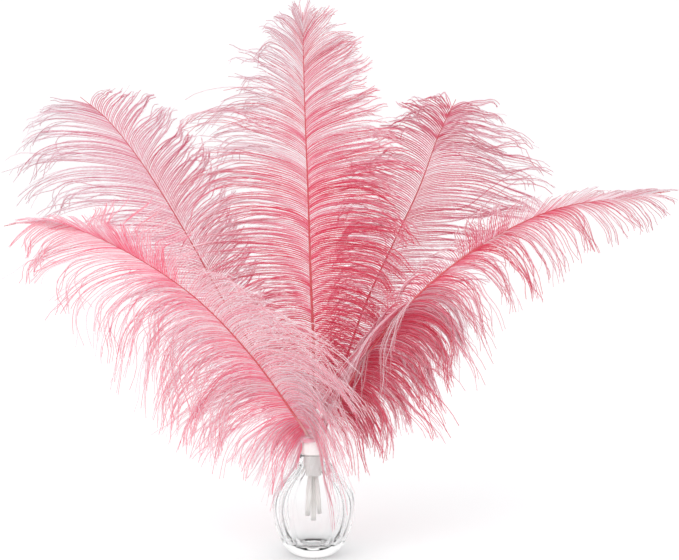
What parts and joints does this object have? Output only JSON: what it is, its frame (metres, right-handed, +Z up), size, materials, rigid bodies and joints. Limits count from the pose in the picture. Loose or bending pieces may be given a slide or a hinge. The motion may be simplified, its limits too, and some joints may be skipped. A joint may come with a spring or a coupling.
{
  "type": "ostrich feather arrangement in a bud vase",
  "caption": "Fan of dyed pink ostrich plumes standing in a small fluted clear glass bud vase, the quills held in its mouth by a folded paper wrap.",
  "frame": {"origin": "centre of the vase's foot, on the surface that it stands on", "axes": "+Z up the vase; X across the fan of plumes, +X to the right as seen from the front; the front faces -Y"},
  "size_m": [0.5243, 0.1485, 0.4447],
  "materials": {
    "glass": "gloss",
    "paper": "matte",
    "plume_center": "matte",
    "plume_upper_left": "matte",
    "plume_upper_right": "matte",
    "plume_lower_left": "matte",
    "plume_lower_right": "matte"
  },
  "bodies": {
    "root": {"vase": "glass", "paper_wrap": "paper", "feather_center": "plume_center", "feather_upper_left": "plume_upper_left", "feather_upper_right": "plume_upper_right", "feather_lower_left": "plume_lower_left", "feather_lower_right": "plume_lower_right"}
  },
  "joints": []
}
